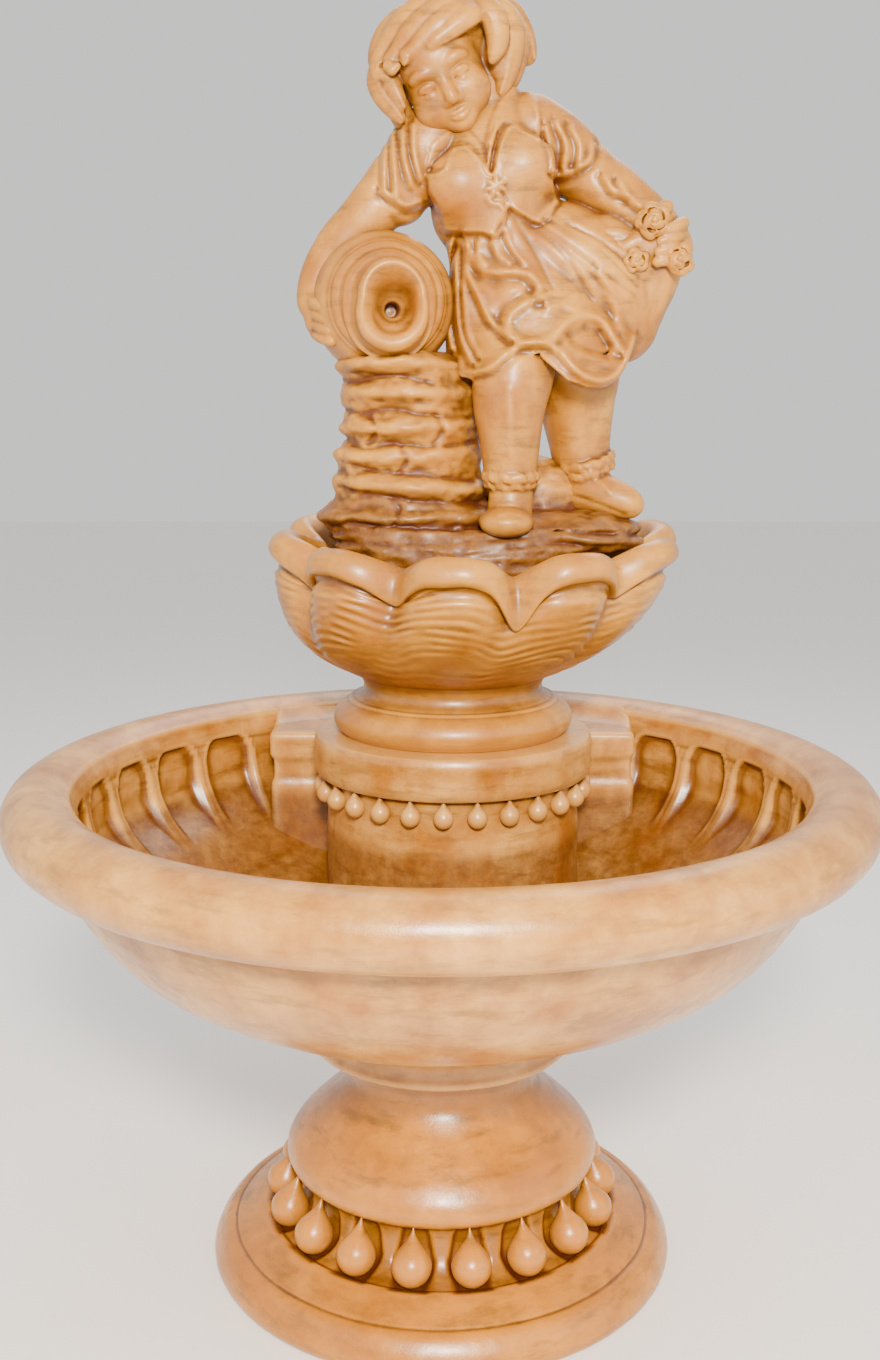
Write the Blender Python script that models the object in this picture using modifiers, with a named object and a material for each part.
"""Garden fountain in cast stone: pedestal, basin, scalloped bowl and a girl tipping a jug.

Metres, +Z up, origin under the middle of the plinth. The front of the fountain looks along -Y.
"""
import math

import bmesh
import bpy
from mathutils import Matrix, Vector

# Fits
JOINT_GAP = 0.0003
MERGE = 0.00001

# Pedestal
PLINTH_RADIUS = 0.2505
PLINTH_HEIGHT = 0.0525
PLINTH_EDGE = 0.011
PLINTH_DOME_RADIUS = 0.190
COVE_RADIUS = 0.153
COVE_HEIGHT = 0.055
BULB_RADIUS = 0.169
BULB_HEIGHT = 0.0935
PEDESTAL_NECK_RADIUS = 0.100
PEDESTAL_NECK_HEIGHT = 0.042
BEAD_COUNT = 18
BEAD_WIDTH = 0.038
BEAD_LENGTH = 0.060
BEAD_REACH = 0.0172
PEDESTAL_STEPS = 28

# Basin
BASIN_RADIUS = 0.450
BASIN_HEIGHT = 0.3037
BASIN_WALL = 0.030
RIM_ROLL_WIDTH = 0.075
RIM_ROLL_HEIGHT = 0.068
RIM_OVERHANG = 0.054
COLLAR_RADIUS = 0.1415
COLLAR_HEIGHT = 0.0347
BOWL_FOOT_RADIUS = 0.150
NICHE_COUNT = 28
NICHE_WIDTH = 0.068
NICHE_DEPTH = 0.012
NICHE_HEIGHT = 0.095
BASIN_STEPS = 40

# Platform cast in the back of the basin
TIER_X = 0.0135
TIER_Y = 0.200
PLATFORM_RADIUS = 0.163
PLATFORM_RISE = -0.007
PLATFORM_BAND = 0.050
DRUM_INSET = 0.013
DROP_COUNT = 26
DROP_WIDTH = 0.022
DROP_LENGTH = 0.032
LUG_WIDTH = 0.062
LUG_FRONT = 0.245
LUG_DROP = 0.0175
LUG_FOOT = 0.003

# Upper bowl
FOOT_RADIUS = 0.141
FOOT_HEIGHT = 0.038
BOWL_NECK_RADIUS = 0.106
BOWL_NECK_HEIGHT = 0.030
BOWL_RADIUS = 0.238
BOWL_DEPTH = 0.170
BOWL_WALL = 0.022
BOWL_FLOOR_RADIUS = 0.128
BOWL_SHIFT = 0.026
LOBE_COUNT = 10
LOBE_DEPTH = 0.032
RIM_BAND = 0.026
RIM_DIP = 0.031
SPOUT_ANGLE = 10.8
SPOUT_DIP = 0.024
RIM_TILT = 0.065
STEPS_PER_LOBE = 4

# Figure, whose own parts are drawn in millimetres at the drawn height
FIGURE_HEIGHT = 0.690
DRAWN_UNITS = 690
FIGURE_VOXEL = 0.0045
FIGURE_TRIANGLES = 2600

# Heights that follow from the sizes above
COVE_Z = PLINTH_HEIGHT
BULB_Z = COVE_Z + COVE_HEIGHT
PEDESTAL_TOP = BULB_Z + BULB_HEIGHT + PEDESTAL_NECK_HEIGHT
BASIN_Z = PEDESTAL_TOP + JOINT_GAP
BASIN_TOP = BASIN_Z + BASIN_HEIGHT
ROLL_RADIUS = BASIN_RADIUS - RIM_ROLL_WIDTH / 2
ROLL_Z = BASIN_TOP - RIM_ROLL_HEIGHT / 2
PLATFORM_TOP = BASIN_TOP + PLATFORM_RISE
BOWL_Z = PLATFORM_TOP + JOINT_GAP
BOWL_BODY_Z = BOWL_Z + FOOT_HEIGHT + BOWL_NECK_HEIGHT
BOWL_TOP = BOWL_BODY_Z + BOWL_DEPTH
BOWL_FLOOR_Z = BOWL_BODY_Z + 0.057
FIGURE_Z = BOWL_FLOOR_Z + JOINT_GAP

STONE = (0.62, 0.36, 0.13, 1.0)


def clear_scene():
    for obj in list(bpy.data.objects):
        bpy.data.objects.remove(obj, do_unlink=True)


def new_collection(name):
    group = bpy.data.collections.new(name)
    bpy.context.scene.collection.children.link(group)
    return group


def stone_material(name, shade):
    material = bpy.data.materials.new(name)
    material.use_nodes = True
    shader = material.node_tree.nodes["Principled BSDF"]
    shader.inputs["Base Color"].default_value = [c * shade for c in STONE[:3]] + [1.0]
    shader.inputs["Roughness"].default_value = 0.42
    shader.inputs["Metallic"].default_value = 0.0
    return material


def mesh_object(name, bm, group):
    mesh = bpy.data.meshes.new(name)
    bm.to_mesh(mesh)
    bm.free()
    obj = bpy.data.objects.new(name, mesh)
    group.objects.link(obj)
    return obj


def arc(centre, semi_r, semi_z, start, end, count):
    """Points on an ellipse in the (radius, height) plane, angles in degrees."""
    points = []
    for i in range(count):
        a = math.radians(start + (end - start) * i / (count - 1))
        points.append((centre[0] + semi_r * math.cos(a), centre[1] + semi_z * math.sin(a)))
    return points


def turned(name, profile, steps, group):
    """Turn a (radius, height) profile round Z with a Screw modifier and bake it."""
    bm = bmesh.new()
    corners = [bm.verts.new((r, 0.0, z)) for r, z in profile]
    for a, b in zip(corners, corners[1:]):
        bm.edges.new((a, b))
    obj = mesh_object(name, bm, group)
    screw = obj.modifiers.new("Screw", "SCREW")
    screw.axis = "Z"
    screw.steps = steps
    screw.render_steps = steps
    screw.use_merge_vertices = True
    screw.merge_threshold = MERGE
    screw.use_normal_calculate = False
    return baked(obj, group)


def baked(obj, group):
    """The evaluated shape as a plain mesh object of the same name."""
    name = obj.name
    graph = bpy.context.evaluated_depsgraph_get()
    mesh = bpy.data.meshes.new_from_object(obj.evaluated_get(graph))
    mesh.transform(obj.matrix_world)
    bpy.data.objects.remove(obj, do_unlink=True)
    solid = bpy.data.objects.new(name, mesh)
    group.objects.link(solid)
    return solid


def welded(obj):
    bm = bmesh.new()
    bm.from_mesh(obj.data)
    bmesh.ops.remove_doubles(bm, verts=bm.verts, dist=MERGE)
    bmesh.ops.recalc_face_normals(bm, faces=bm.faces)
    bm.to_mesh(obj.data)
    bm.free()
    return obj


def combine(target, tool, operation):
    """Add a Boolean of the tool to the target; the tool becomes a guide that isn't built."""
    boolean = target.modifiers.new(tool.name, "BOOLEAN")
    boolean.operation = operation
    boolean.solver = "EXACT"
    boolean.object = tool
    tool.hide_render = True
    tool.display_type = "WIRE"


def finish(obj, group, material):
    for other in obj.users_collection:
        other.objects.unlink(obj)
    group.objects.link(obj)
    obj.data.materials.clear()
    obj.data.materials.append(material)
    obj.data.shade_smooth()
    obj.data.set_sharp_from_angle(angle=math.radians(40))


def teardrop_into(bm, length, width, place, sides, rings):
    """A drop with its point at +Z, moved to its place by a matrix."""
    made = bmesh.ops.create_uvsphere(bm, u_segments=sides, v_segments=rings, radius=0.5)
    for vert in made["verts"]:
        height = vert.co.z + 0.5
        slim = 1.0 if height < 0.45 else 1.0 - 0.55 * (height - 0.45) / 0.55
        swell = 1.0 + 0.10 * math.sin(math.pi * min(height / 0.45, 1.0))
        vert.co.x *= width * slim * swell
        vert.co.y *= width * slim * swell
        vert.co.z *= length
    bmesh.ops.transform(bm, matrix=place, verts=made["verts"])


def build_pedestal(group, cutters):
    swell = BULB_RADIUS - PEDESTAL_NECK_RADIUS
    profile = [(0.0, PEDESTAL_TOP), (PEDESTAL_NECK_RADIUS * 1.065, PEDESTAL_TOP)]
    neck = [(1.0, 0.60)]
    profile += [(PEDESTAL_NECK_RADIUS * a, PEDESTAL_TOP - PEDESTAL_NECK_HEIGHT * (1.0 - b))
                for a, b in neck]
    bell = [(0.045, 1.0), (0.19, 0.85), (0.415, 0.69), (0.66, 0.51), (0.875, 0.34),
            (1.0, 0.134), (0.913, 0.0)]
    profile += [(PEDESTAL_NECK_RADIUS + swell * a, BULB_Z + BULB_HEIGHT * b) for a, b in bell]
    cove = [(1.0, 0.755), (1.013, 0.46), (1.10, 0.12)]
    profile += [(COVE_RADIUS * a, COVE_Z + COVE_HEIGHT * b) for a, b in cove]
    dome = PLINTH_RADIUS - PLINTH_DOME_RADIUS
    rise = PLINTH_HEIGHT - PLINTH_EDGE
    slope = [(0.0, 1.06), (0.56, 0.68), (0.735, 0.60), (0.88, 0.42), (1.0, 0.0)]
    profile += [(PLINTH_DOME_RADIUS + dome * a, PLINTH_EDGE + rise * b) for a, b in slope]
    profile += [(PLINTH_RADIUS * 0.978, 0.0), (0.0, 0.0)]
    pedestal = turned("pedestal", profile, PEDESTAL_STEPS, group)

    bm = bmesh.new()
    lean = Matrix.Rotation(math.radians(-17.0), 4, "Y")
    for i in range(BEAD_COUNT):
        turn = Matrix.Rotation(math.tau * i / BEAD_COUNT, 4, "Z")
        middle = Vector((COVE_RADIUS + BEAD_REACH, 0.0, COVE_Z + COVE_HEIGHT * 0.495))
        place = turn @ Matrix.Translation(middle) @ lean
        teardrop_into(bm, BEAD_LENGTH, BEAD_WIDTH, place, 5, 4)
    combine(pedestal, mesh_object("bead_ring", bm, cutters), "UNION")
    return pedestal


def basin_outline():
    """The bowl's outer line from under the rim roll down to the collar, then its bottom."""
    foot_z = BASIN_Z + COLLAR_HEIGHT
    deep = ROLL_Z - RIM_ROLL_HEIGHT / 2 - foot_z
    wide = BASIN_RADIUS - RIM_OVERHANG - BOWL_FOOT_RADIUS
    shares = [(1.0, 0.98), (0.963, 0.84), (0.883, 0.66), (0.764, 0.490), (0.581, 0.333),
              (0.296, 0.174), (0.081, 0.075), (0.0, 0.0)]
    return [(BOWL_FOOT_RADIUS + wide * a, foot_z + deep * b) for a, b in shares]


def offset_inward(points, distance):
    """Move an outer (radius, height) line to the inside by a wall thickness."""
    moved = []
    for i, (r, z) in enumerate(points):
        before = points[max(i - 1, 0)]
        after = points[min(i + 1, len(points) - 1)]
        along = Vector((after[0] - before[0], after[1] - before[1])).normalized()
        moved.append((r + along.y * distance, z - along.x * distance))
    return moved


def build_basin(group, cutters):
    outer = basin_outline()
    arcade = BASIN_RADIUS - RIM_ROLL_WIDTH
    floor_z = BASIN_Z + COLLAR_HEIGHT + BASIN_WALL
    inner = [(r, z) for r, z in reversed(offset_inward(outer, BASIN_WALL))
             if z > floor_z + 0.004 and z < ROLL_Z - 0.055]
    wall = [(BOWL_FOOT_RADIUS * 0.9, floor_z)] + inner
    wall += [(arcade - 0.008, ROLL_Z - 0.055), (arcade - 0.002, ROLL_Z - 0.026)]
    profile = [(0.0, floor_z)] + wall
    profile += arc((ROLL_RADIUS, ROLL_Z), RIM_ROLL_WIDTH / 2, RIM_ROLL_HEIGHT / 2, 180.0, -62.0, 8)
    profile += outer
    collar = [(1.0, 0.74), (0.985, 0.42), (1.0, 0.0)]
    profile += [(COLLAR_RADIUS * a, BASIN_Z + COLLAR_HEIGHT * b) for a, b in collar]
    profile += [(0.0, BASIN_Z)]
    basin = turned("basin", profile, BASIN_STEPS, group)

    core = platform_core(outer, cutters)
    combine(core, lug_block(cutters), "UNION")
    middle = offset_inward(outer, BASIN_WALL / 2)
    trim_profile = [(0.0, BASIN_TOP), (ROLL_RADIUS, BASIN_TOP), (ROLL_RADIUS, ROLL_Z)]
    trim_profile += [(r, z) for r, z in middle if r < ROLL_RADIUS]
    trim_profile += [(0.0, middle[-1][1])]
    combine(core, turned("bowl_filling", trim_profile, BASIN_STEPS, cutters), "INTERSECT")
    core = baked(core, cutters)
    combine(basin, core, "UNION")
    combine(basin, drop_ring(cutters), "UNION")
    combine(basin, niche_ring(cutters), "DIFFERENCE")
    return basin


def platform_core(outer, cutters):
    band_z = PLATFORM_TOP - PLATFORM_BAND
    drum = PLATFORM_RADIUS - DRUM_INSET
    profile = [(0.0, PLATFORM_TOP), (PLATFORM_RADIUS - 0.004, PLATFORM_TOP),
               (PLATFORM_RADIUS, PLATFORM_TOP - 0.004), (PLATFORM_RADIUS, band_z + 0.003),
               (PLATFORM_RADIUS - 0.003, band_z), (drum, band_z - 0.004),
               (drum, outer[-1][1]), (0.0, outer[-1][1])]
    core = turned("platform", profile, 28, cutters)
    core.data.transform(Matrix.Translation((TIER_X, TIER_Y, 0.0)))
    return core


def box_object(name, low, high, group):
    bm = bmesh.new()
    made = bmesh.ops.create_cube(bm, size=1.0)
    size = [b - a for a, b in zip(low, high)]
    centre = [(a + b) / 2 for a, b in zip(low, high)]
    place = Matrix.Translation(centre) @ Matrix.Diagonal((*size, 1.0))
    bmesh.ops.transform(bm, matrix=place, verts=made["verts"])
    return mesh_object(name, bm, group)


def lug_block(cutters):
    """The shelf behind the drum, whose two front ends show as square lugs beside it."""
    half = PLATFORM_RADIUS - 0.003 + LUG_WIDTH
    top = PLATFORM_TOP - LUG_DROP
    low = BASIN_Z
    block = box_object("lugs", (TIER_X - half, LUG_FRONT, low), (TIER_X + half, BASIN_RADIUS, top),
                       cutters)
    foot = box_object("lug_feet", (TIER_X - half - LUG_FOOT, LUG_FRONT - LUG_FOOT, low),
                      (TIER_X + half + LUG_FOOT, BASIN_RADIUS - 0.01, top - LUG_WIDTH), cutters)
    combine(block, foot, "UNION")
    return baked(block, cutters)


def drop_ring(cutters):
    """Drops that hang below the platform's band, where the shelf leaves its front free."""
    bm = bmesh.new()
    drum = PLATFORM_RADIUS - DRUM_INSET
    phase = -4.2
    for i in range(DROP_COUNT):
        azimuth = (phase + 360.0 * i / DROP_COUNT + 180.0) % 360.0 - 180.0
        if abs(azimuth) > 96.0:
            continue
        turn = Matrix.Rotation(math.radians(azimuth - 90.0), 4, "Z")
        middle = Vector((drum + 0.004, 0.0, PLATFORM_TOP - PLATFORM_BAND - DROP_LENGTH * 0.30))
        place = Matrix.Translation((TIER_X, TIER_Y, 0.0)) @ turn @ Matrix.Translation(middle)
        teardrop_into(bm, DROP_LENGTH, DROP_WIDTH, place, 4, 3)
    return mesh_object("drops", bm, cutters)


def niche_ring(cutters):
    """Round-headed hollows in the inner wall, but none behind the shelf."""
    bm = bmesh.new()
    arcade = BASIN_RADIUS - RIM_ROLL_WIDTH
    skip = math.degrees(math.asin((PLATFORM_RADIUS + LUG_WIDTH + NICHE_WIDTH / 3) / arcade))
    for i in range(NICHE_COUNT):
        from_back = (360.0 * (i + 0.5) / NICHE_COUNT + 180.0) % 360.0 - 180.0
        if abs(from_back) < skip:
            continue
        made = bmesh.ops.create_uvsphere(bm, u_segments=6, v_segments=6, radius=0.5)
        size = Matrix.Diagonal((NICHE_DEPTH * 2.0, NICHE_WIDTH, NICHE_HEIGHT, 1.0))
        turn = Matrix.Rotation(math.radians(90.0 - from_back), 4, "Z")
        lean = Matrix.Rotation(math.radians(8.0), 4, "Y")
        middle = Vector((arcade - 0.003, 0.0, ROLL_Z + 0.014 - NICHE_HEIGHT / 2))
        place = turn @ Matrix.Translation(middle) @ lean @ size
        bmesh.ops.transform(bm, matrix=place, verts=made["verts"])
    return mesh_object("niches", bm, cutters)


def smooth_step(low, high, value):
    t = min(max((value - low) / (high - low), 0.0), 1.0)
    return t * t * (3.0 - 2.0 * t)


def bowl_profile():
    foot_mid = FOOT_HEIGHT * 0.42
    profile = [(0.0, BOWL_FLOOR_Z), (BOWL_FLOOR_RADIUS, BOWL_FLOOR_Z)]
    outer = [(BOWL_RADIUS - 0.012, BOWL_TOP - RIM_BAND - 0.006)]
    outer += [(BOWL_RADIUS * a, BOWL_BODY_Z + BOWL_DEPTH * b)
              for a, b in ((0.920, 0.60), (0.830, 0.36), (0.727, 0.20), (0.597, 0.078))]
    outer += [(BOWL_NECK_RADIUS + 0.006, BOWL_BODY_Z)]
    profile += [(BOWL_FLOOR_RADIUS + 0.042, BOWL_FLOOR_Z + 0.016),
                (BOWL_RADIUS - 0.014 - BOWL_WALL * 1.3, BOWL_TOP - 0.052),
                (BOWL_RADIUS - 0.004 - BOWL_WALL * 1.3, BOWL_TOP - 0.010)]
    band = (BOWL_RADIUS - BOWL_WALL / 2 - 0.002, BOWL_TOP - RIM_BAND / 2)
    profile += arc(band, BOWL_WALL / 2 + 0.004, RIM_BAND / 2, 130.0, -70.0, 5)
    profile += outer
    profile += [(BOWL_NECK_RADIUS, BOWL_BODY_Z - BOWL_NECK_HEIGHT * 0.45),
                (BOWL_NECK_RADIUS + 0.012, BOWL_BODY_Z - BOWL_NECK_HEIGHT * 0.85)]
    profile += arc((FOOT_RADIUS - 0.020, BOWL_Z + foot_mid), 0.020, FOOT_HEIGHT * 0.45,
                   70.0, -50.0, 4)
    profile += [(FOOT_RADIUS - 0.012, BOWL_Z), (0.0, BOWL_Z)]
    return profile


def lobed(x, y, z):
    """Move a point of the plain turned bowl onto the scalloped one."""
    azimuth = math.degrees(math.atan2(x, -y))
    radius = math.hypot(x, y)
    swing = math.hypot(math.sin(math.radians((azimuth - SPOUT_ANGLE) * LOBE_COUNT / 2)), 0.24)
    valley = min(max((1.028 - swing) / 0.788, 0.0), 1.0) ** 1.5
    rise = smooth_step(BOWL_BODY_Z, BOWL_TOP - RIM_BAND, z)
    outside = smooth_step(BOWL_FLOOR_RADIUS, BOWL_RADIUS * 0.8, radius)
    radius -= LOBE_DEPTH * valley * rise * rise * outside
    in_band = smooth_step(BOWL_TOP - RIM_BAND * 2.2, BOWL_TOP - RIM_BAND * 0.8, z)
    low_edge = smooth_step(BOWL_TOP, BOWL_TOP - RIM_BAND, z)
    off = (azimuth - SPOUT_ANGLE + 180.0) % 360.0 - 180.0
    spout = SPOUT_DIP * (0.25 + 0.75 * low_edge) * math.exp(-((off / 5.0) ** 2))
    drop_here = RIM_DIP * (0.60 + 0.40 * low_edge) * valley + spout
    z -= drop_here * in_band * outside
    z += RIM_TILT * y * rise * outside
    shift = BOWL_SHIFT * smooth_step(BOWL_BODY_Z - BOWL_NECK_HEIGHT * 0.3, BOWL_TOP, z)
    angle = math.radians(azimuth)
    return radius * math.sin(angle) + shift, -radius * math.cos(angle), z


def build_upper_bowl(group):
    bowl = turned("upper_bowl", bowl_profile(), LOBE_COUNT * STEPS_PER_LOBE, group)
    spin = Matrix.Rotation(math.radians(SPOUT_ANGLE), 4, "Z")
    bowl.data.transform(spin)
    for vert in bowl.data.vertices:
        vert.co = lobed(*vert.co)
    bowl.data.transform(Matrix.Translation((TIER_X, TIER_Y, 0.0)))
    return bowl


def figure_point(x, y, z):
    """A point drawn in millimetres from the statue's foot, in metres in the fountain."""
    share = FIGURE_HEIGHT / DRAWN_UNITS
    return Vector((TIER_X + x * share, TIER_Y + y * share, FIGURE_Z + z * share))


def limb(name, stations, group):
    """A round limb through (x, y, z, radius) stations, with round ends."""
    share = FIGURE_HEIGHT / DRAWN_UNITS
    curve = bpy.data.curves.new(name, "CURVE")
    curve.dimensions = "3D"
    curve.bevel_depth = share
    curve.bevel_resolution = 3
    curve.resolution_u = 5
    curve.use_fill_caps = True
    spline = curve.splines.new("NURBS")
    spline.points.add(len(stations) - 1)
    for point, (x, y, z, radius) in zip(spline.points, stations):
        point.co = (*figure_point(x, y, z), 1.0)
        point.radius = radius
    spline.use_endpoint_u = True
    spline.order_u = min(3, len(stations))
    tube = bpy.data.objects.new(name, curve)
    group.objects.link(tube)
    parts = [welded(baked(tube, group))]
    for x, y, z, radius in (stations[0], stations[-1]):
        parts.append(ball(name + "_end", (x, y, z), (radius, radius, radius), (0, 0, 0), group))
    return parts


def ball(name, centre, semi, turn, group):
    """An ellipsoid with semi-axes in millimetres, turned by X, Y, Z angles in degrees."""
    share = FIGURE_HEIGHT / DRAWN_UNITS
    bm = bmesh.new()
    bmesh.ops.create_icosphere(bm, subdivisions=3, radius=1.0)
    place = Matrix.Translation(figure_point(*centre))
    for angle, axis in zip(reversed(turn), "ZYX"):
        place = place @ Matrix.Rotation(math.radians(angle), 4, axis)
    place = place @ Matrix.Diagonal((*(s * share for s in semi), 1.0))
    bmesh.ops.transform(bm, matrix=place, verts=bm.verts)
    return mesh_object(name, bm, group)


def rock_base(group):
    """Foot block in the bowl and the stack of worn ledges that carries the jug."""
    parts = []
    levels = [(18, 0, 0, 112, 98), (20, 0, 60, 138, 106), (26, 4, 96, 172, 108),
              (26, 6, 118, 176, 98)]
    bm = bmesh.new()
    rings = []
    for x, y, z, a, b in levels:
        ring = []
        for i in range(24):
            t = math.tau * i / 24
            ring.append(bm.verts.new(figure_point(x + a * math.cos(t), y + b * math.sin(t), z)))
        rings.append(ring)
    for lower, upper in zip(rings, rings[1:]):
        for i in range(24):
            j = (i + 1) % 24
            bm.faces.new((lower[i], lower[j], upper[j], upper[i]))
    bm.faces.new(list(reversed(rings[0])))
    bm.faces.new(rings[-1])
    parts.append(mesh_object("foot_block", bm, group))
    ledges = [(128, 108, 88, 24), (160, 94, 84, 24), (194, 86, 78, 24), (228, 84, 78, 23),
              (262, 84, 76, 24), (290, 92, 76, 21)]
    for z, a, b, c in ledges:
        parts.append(ball("ledge", (-50, 8, z), (a + 3, b, c), (0, 0, 12), group))
        parts.append(ball("ledge_core", (-50, 8, z), (a * 0.93, b * 0.9, c * 1.6), (0, 0, 0),
                          group))
    parts.append(ball("ledge_right", (126, 6, 116), (90, 74, 18), (0, 0, 0), group))
    parts.append(ball("ledge_back", (98, 34, 146), (58, 44, 46), (0, 0, 0), group))
    return parts


def legs(group):
    parts = limb("front_leg", [(66, -20, 318, 47), (66, -44, 275, 41), (61, -50, 245, 37),
                               (63, -52, 195, 28), (63, -50, 176, 26)], group)
    parts += [ball("front_cuff", (64, -50, 170), (30, 29, 9), (0, 0, 0), group)]
    parts += limb("front_sock", [(64, -50, 168, 24), (65, -52, 146, 24)], group)
    parts += [ball("front_shoe", (57, -72, 124), (32, 42, 17), (0, 0, 0), group)]
    parts += limb("back_leg", [(136, 10, 318, 52), (143, 20, 273, 45), (143, 30, 236, 34),
                               (146, 30, 205, 32), (148, 30, 185, 30)], group)
    parts += [ball("back_cuff", (156, 24, 184), (30, 28, 13), (0, 20, 0), group)]
    parts += limb("back_shoe", [(148, 26, 162, 24), (176, 6, 150, 22), (200, -6, 142, 17)], group)
    return parts


def skirt(group):
    """Flared cloth between waist and hem with rounded folds and a waved hem."""
    bm = bmesh.new()
    rows = 9
    sides = 48
    rings = []
    for k in range(rows):
        t = k / (rows - 1)
        open_out = t ** 0.8
        cx = 56 + 47 * open_out
        cz = 452 - 150 * t
        a = 56 + 56 * open_out
        b = 46 + 40 * open_out
        tilt = math.radians(18 - 13 * t)
        ring = []
        for i in range(sides):
            s = math.tau * i / sides
            fold = 1.0 + 0.055 * t * math.sin(9 * s + 0.8)
            x = a * math.cos(s) * fold
            hem = -13 * t * t * math.cos(5 * (s - 4.01))
            ring.append(bm.verts.new(figure_point(cx + x, 4 + b * math.sin(s) * fold,
                                                  cz + x * math.tan(tilt) * 0.9 + hem)))
        rings.append(ring)
    for upper, lower in zip(rings, rings[1:]):
        for i in range(sides):
            j = (i + 1) % sides
            bm.faces.new((lower[i], lower[j], upper[j], upper[i]))
    bm.faces.new(rings[0])
    bm.faces.new(list(reversed(rings[-1])))
    return [mesh_object("skirt", bm, group)]


def torso(group):
    parts = limb("waist", [(54, 6, 436, 60), (48, 6, 468, 56), (42, 8, 508, 56),
                           (42, 10, 540, 42)], group)
    parts += [ball("bust_right", (8, -30, 484), (37, 30, 34), (0, 0, 0), group)]
    parts += [ball("bust_left", (74, -30, 502), (38, 30, 34), (0, 0, 0), group)]
    parts += [ball("shoulders", (38, 10, 540), (84, 36, 28), (0, -14, 0), group)]
    parts += limb("neck", [(46, 12, 556, 36), (32, 10, 604, 37)], group)
    parts += [ball("collar", (36, 4, 556), (44, 36, 18), (0, -20, 0), group)]
    return parts


def head(group):
    parts = [ball("skull", (-14, 0, 622), (66, 66, 66), (0, 0, 0), group)]
    parts += [ball("face", (-8, -34, 600), (46, 38, 50), (0, 26, 0), group)]
    parts += [ball("hair_cap", (-17, 6, 632), (83, 76, 58), (0, -12, 0), group)]
    parts += [ball("side_curls", (-79, -20, 590), (18, 22, 36), (0, -12, 0), group)]
    parts += limb("tail", [(44, 34, 666, 30), (70, 38, 652, 26), (80, 38, 636, 20)], group)
    return parts


def arms(group):
    parts = limb("pouring_arm", [(-30, 8, 534, 36), (-63, 4, 494, 34), (-95, 0, 456, 27),
                                 (-134, 4, 424, 24), (-160, 0, 392, 19), (-166, -14, 356, 16),
                                 (-150, -28, 322, 12)], group)
    parts += limb("short_sleeve", [(-24, 6, 540, 36), (-50, 2, 502, 37), (-60, 0, 484, 34)], group)
    parts += limb("skirt_arm", [(92, 12, 552, 36), (118, 18, 538, 35), (144, 12, 506, 32),
                                (174, 0, 484, 27), (207, -16, 456, 23), (236, -26, 436, 20)], group)
    parts += [ball("skirt_hand", (242, -26, 416), (19, 18, 24), (0, 0, 0), group)]
    parts += limb("gathered_cloth", [(236, -24, 420, 20), (224, -10, 380, 26), (212, 0, 344, 28),
                                     (198, 0, 320, 26)], group)
    parts += limb("lifted_cloth", [(100, 0, 438, 36), (150, -6, 414, 36), (204, -14, 390, 30)],
                  group)
    parts += limb("cloth_edge", [(170, -20, 440, 16), (200, -20, 410, 20), (214, -14, 370, 22)],
                  group)
    return parts


def roses(group):
    parts = []
    for x, y, z, r in ((214, -46, 446, 19), (243, -46, 405, 16), (198, -44, 405, 13)):
        parts.append(ball("rose", (x, y, z), (r, 13, r), (0, 0, 0), group))
    parts.append(ball("leaf", (182, -38, 431), (22, 7, 8), (0, -10, 0), group))
    return parts


def jug_profile():
    """Half section of the jug along its own axis, from the mouth rim to the base."""
    return [(0, -52), (18, -54), (30, -66), (38, -84), (44, -98), (50, -104), (55, -98), (54, -88),
            (49, -78), (56, -68), (68, -48), (76, -20), (77, 6), (72, 34), (58, 58), (44, 70),
            (42, 78), (0, 78)]


def jug(group):
    """The jug lies on the rocks, its mouth to the front and a little down."""
    share = FIGURE_HEIGHT / DRAWN_UNITS
    profile = [(r * share, -y * share) for r, y in jug_profile()]
    body = turned("jug", profile, 40, group)
    place = Matrix.Translation(figure_point(-78, 0, 364))
    place = place @ Matrix.Rotation(math.radians(94.0), 4, "X")
    place = place @ Matrix.Rotation(math.radians(8.0), 4, "Y")
    body.data.transform(place)
    return [body]


def build_figure(group, cutters):
    """One casting: every form is joined, remeshed to one skin, smoothed and thinned."""
    parts = rock_base(cutters) + legs(cutters) + skirt(cutters) + torso(cutters)
    parts += head(cutters) + arms(cutters) + roses(cutters) + jug(cutters)
    bm = bmesh.new()
    for part in parts:
        bm.from_mesh(part.data)
        bpy.data.objects.remove(part, do_unlink=True)
    figure = mesh_object("statue", bm, group)
    remesh = figure.modifiers.new("Skin", "REMESH")
    remesh.mode = "VOXEL"
    remesh.voxel_size = FIGURE_VOXEL
    smooth = figure.modifiers.new("Soften", "SMOOTH")
    smooth.factor = 0.5
    smooth.iterations = 3
    figure = baked(figure, group)
    thin = figure.modifiers.new("Thin", "DECIMATE")
    thin.use_collapse_triangulate = True
    thin.ratio = FIGURE_TRIANGLES / sum(len(p.vertices) - 2 for p in figure.data.polygons)
    figure = baked(figure, group)
    reach = FIGURE_HEIGHT
    under = box_object("under_statue", (-reach, -reach, FIGURE_Z - reach),
                       (reach, reach, FIGURE_Z), cutters)
    combine(figure, under, "DIFFERENCE")
    return figure


def main():
    clear_scene()
    group = new_collection("girl_fountain_statue")
    cutters = new_collection("cutters")
    finish(build_pedestal(group, cutters), group, stone_material("Cast stone pedestal", 0.96))
    finish(build_basin(group, cutters), group, stone_material("Cast stone basin", 1.0))
    finish(build_upper_bowl(group), group, stone_material("Cast stone bowl", 1.02))
    finish(build_figure(group, cutters), group, stone_material("Cast stone statue", 1.06))


main()
